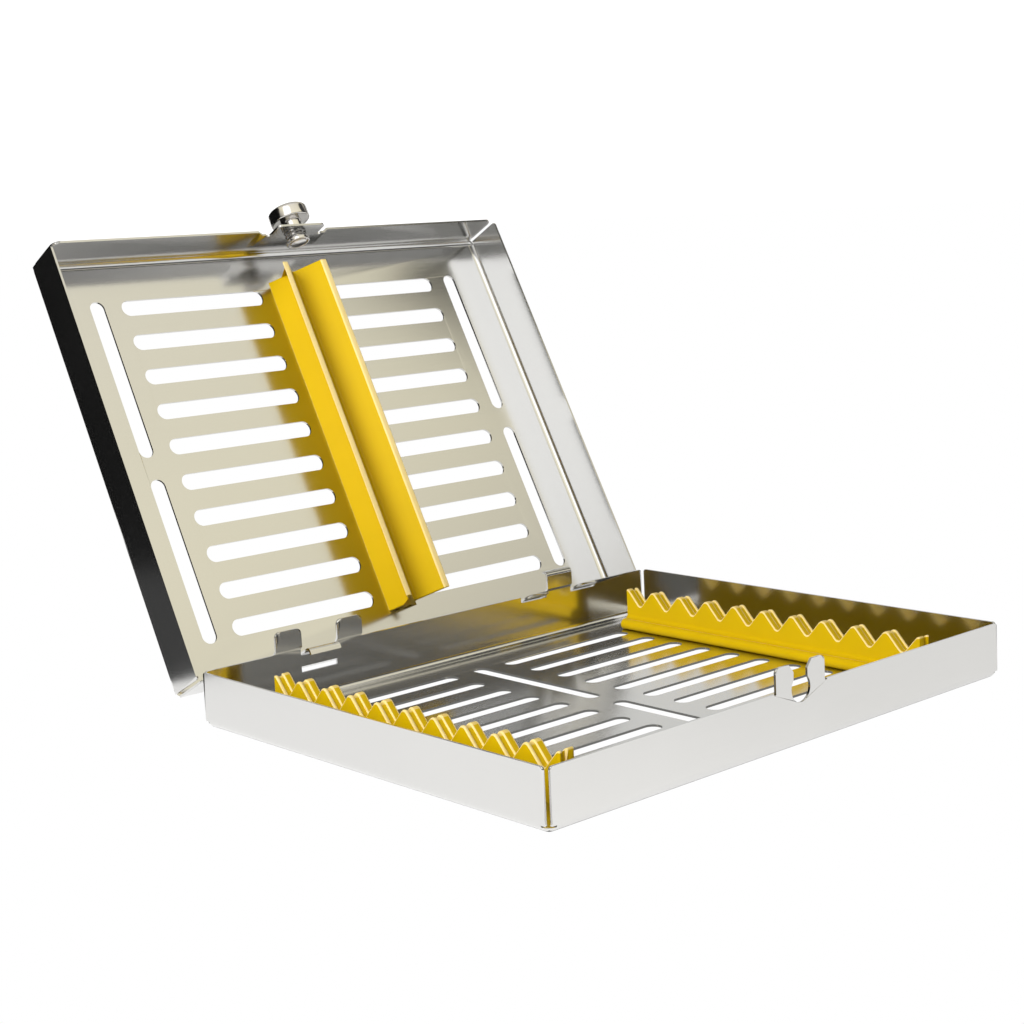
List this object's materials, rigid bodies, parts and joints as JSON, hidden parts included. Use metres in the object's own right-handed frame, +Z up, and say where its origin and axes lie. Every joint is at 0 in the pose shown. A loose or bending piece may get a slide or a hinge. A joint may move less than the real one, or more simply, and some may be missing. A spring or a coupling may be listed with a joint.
{
  "type": "dental instrument cassette",
  "caption": "Hinged perforated steel wash cassette for hand instruments, with notched silicone rails, a hold-down bar in the lid and a sprung pull-knob latch.",
  "frame": {"origin": "middle of the lower tray's underside, on the surface that it stands on", "axes": "+X along the hinge, -Y towards the latch side of the lower tray, +Z up; the lid stands open over +Y"},
  "size_m": [0.18, 0.2247, 0.1478],
  "materials": {
    "steel": "smooth rolled sheet, semi-gloss",
    "fittings": "turned and polished",
    "spring_steel": "drawn wire",
    "silicone": "moulded, satin"
  },
  "bodies": {
    "base": {"base_tray": "steel", "left_rail": "silicone", "right_rail": "silicone"},
    "lid": {"lid_tray": "steel", "lid_bar": "silicone", "latch_spring": "spring_steel"},
    "latch": {"latch_knob": "fittings", "latch_pin": "fittings", "latch_washer": "fittings"}
  },
  "joints": [
    {"name": "lid_hinge", "type": "hinge", "parent": "base", "child": "lid", "pos_m": [0, 0.07115, 0.0138], "axis": [1, 0, 0], "range_deg": [0, 118]},
    {"name": "latch_pull", "type": "slide", "parent": "lid", "child": "latch", "axis": [0, 0.4695, 0.8829], "range_m": [0, 0.0015], "stiffness_N_per_m": 500, "springref_m": -0.003, "deforming": ["latch_spring"]}
  ]
}
